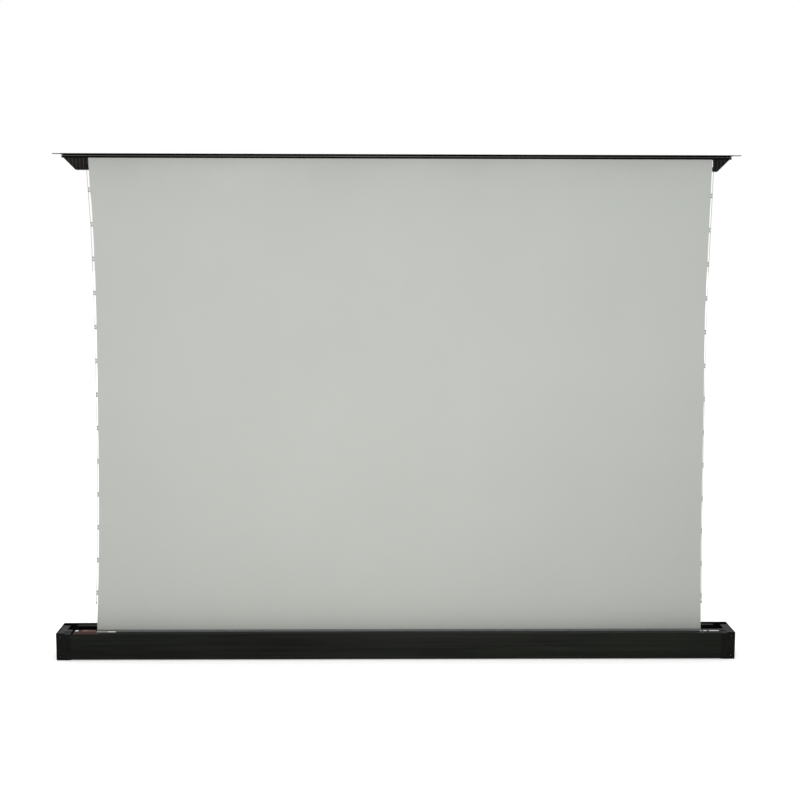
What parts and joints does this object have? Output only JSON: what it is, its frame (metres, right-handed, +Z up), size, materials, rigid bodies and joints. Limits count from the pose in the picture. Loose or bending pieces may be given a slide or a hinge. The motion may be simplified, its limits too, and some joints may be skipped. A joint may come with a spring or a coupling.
{
  "type": "projection screen",
  "caption": "Motorised floor-rising projection screen: a low black housing holds a roller and folding arms that raise a tab-tensioned grey fabric hung from the lid's rail.",
  "frame": {"origin": "on the floor, under the middle of the housing's length and depth", "axes": "+X along the housing to the viewer's right, -Y towards the viewer, +Z up; the screen is shown raised"},
  "size_m": [2.72, 0.158, 2],
  "materials": {
    "black_painted_steel": "fine textured black paint",
    "black_aluminium": "brushed, anodised black",
    "black_plastic": "moulded, fine grain",
    "dark_red_plastic": "moulded, satin",
    "bare_aluminium": "mill finish",
    "zinc_steel": "zinc plated",
    "white_plastic": "moulded nylon",
    "grey_screen_fabric": "matte grey coated front projection fabric",
    "clear_cord": "translucent nylon cord",
    "black_rubber": "matte"
  },
  "bodies": {
    "housing": {"base_plate": "black_painted_steel", "front_panel": "black_aluminium", "rear_panel": "black_aluminium", "end_cap_left": "black_plastic", "end_cap_right": "black_plastic", "rubber_foot_1": "black_rubber", "rubber_foot_2": "black_rubber", "rubber_foot_3": "black_rubber", "rubber_foot_4": "black_rubber", "motor_bracket": "zinc_steel", "idler_bracket": "zinc_steel", "tubular_motor": "bare_aluminium", "motor_head": "black_plastic", "receiver_box": "dark_red_plastic", "power_inlet": "black_plastic", "idler_pin": "zinc_steel", "arm_base_bracket_left": "zinc_steel", "arm_base_bracket_right": "zinc_steel", "base_pivot_pin_left": "zinc_steel", "base_pivot_pin_right": "zinc_steel", "screen_fabric": "grey_screen_fabric", "tab_strip_left": "grey_screen_fabric", "tab_strip_right": "grey_screen_fabric", "tension_cable_left": "clear_cord", "tension_cable_right": "clear_cord"},
    "roller": {"roller_tube": "bare_aluminium", "crown_ring": "white_plastic", "drive_wheel": "white_plastic", "idler_plug": "white_plastic", "idler_bearing": "zinc_steel", "fabric_roll": "grey_screen_fabric"},
    "lower_arm_left": {"lower_arm_tube_left": "black_aluminium", "lower_root_casting_left": "zinc_steel", "lower_elbow_casting_left": "zinc_steel", "elbow_pin_left": "zinc_steel", "lift_spring_left": "zinc_steel"},
    "upper_arm_left": {"upper_arm_tube_left": "black_aluminium", "upper_elbow_casting_left": "zinc_steel", "upper_end_casting_left": "zinc_steel"},
    "lower_arm_right": {"lower_arm_tube_right": "black_aluminium", "lower_root_casting_right": "zinc_steel", "lower_elbow_casting_right": "zinc_steel", "elbow_pin_right": "zinc_steel", "lift_spring_right": "zinc_steel"},
    "upper_arm_right": {"upper_arm_tube_right": "black_aluminium", "upper_elbow_casting_right": "zinc_steel", "upper_end_casting_right": "zinc_steel"},
    "top_rail_and_lid": {"top_rail": "black_aluminium", "lid_plate": "black_aluminium", "fabric_batten": "zinc_steel", "lid_tongue_left": "bare_aluminium", "lid_tongue_right": "bare_aluminium", "tension_bracket_left": "black_plastic", "tension_bracket_right": "black_plastic", "top_pivot_bracket_left": "zinc_steel", "top_pivot_bracket_right": "zinc_steel", "top_pivot_pin_left": "zinc_steel", "top_pivot_pin_right": "zinc_steel", "cable_adjuster_left": "black_plastic", "cable_adjuster_right": "black_plastic"}
  },
  "joints": [
    {"name": "lift", "type": "hinge", "parent": "housing", "child": "lower_arm_left", "pos_m": [-0.075, 0.057, 0.04], "axis": [0, -1, 0], "range_deg": [0, 60.12], "deforming": ["screen_fabric", "tab_strip_left", "tab_strip_right", "tension_cable_left", "tension_cable_right"]},
    {"name": "elbow_left", "type": "hinge", "parent": "lower_arm_left", "child": "upper_arm_left", "pos_m": [-0.60754, 0.045, 1.0025], "axis": [0, -1, 0], "range_deg": [-120.24, 0]},
    {"name": "top_pivot_left", "type": "hinge", "parent": "upper_arm_left", "child": "top_rail_and_lid", "pos_m": [-0.075, 0.033, 1.965], "axis": [0, -1, 0], "range_deg": [0, 60.12]},
    {"name": "base_pivot_right", "type": "hinge", "parent": "housing", "child": "lower_arm_right", "pos_m": [0.075, 0.057, 0.04], "axis": [0, -1, 0], "range_deg": [-60.12, 0]},
    {"name": "elbow_right", "type": "hinge", "parent": "lower_arm_right", "child": "upper_arm_right", "pos_m": [0.60754, 0.045, 1.0025], "axis": [0, -1, 0], "range_deg": [0, 120.24]},
    {"name": "roller_spin", "type": "hinge", "parent": "housing", "child": "roller", "pos_m": [0, -0.0385, 0.046], "axis": [-1, 0, 0], "range_deg": [0, 3282]}
  ],
  "couplings": [
    {"joint": "elbow_left", "follows": "lift", "ratio": -2},
    {"joint": "top_pivot_left", "follows": "lift", "ratio": 1},
    {"joint": "base_pivot_right", "follows": "lift", "ratio": -1},
    {"joint": "elbow_right", "follows": "lift", "ratio": 2},
    {"joint": "roller_spin", "follows": "lift", "ratio": 54.57}
  ]
}
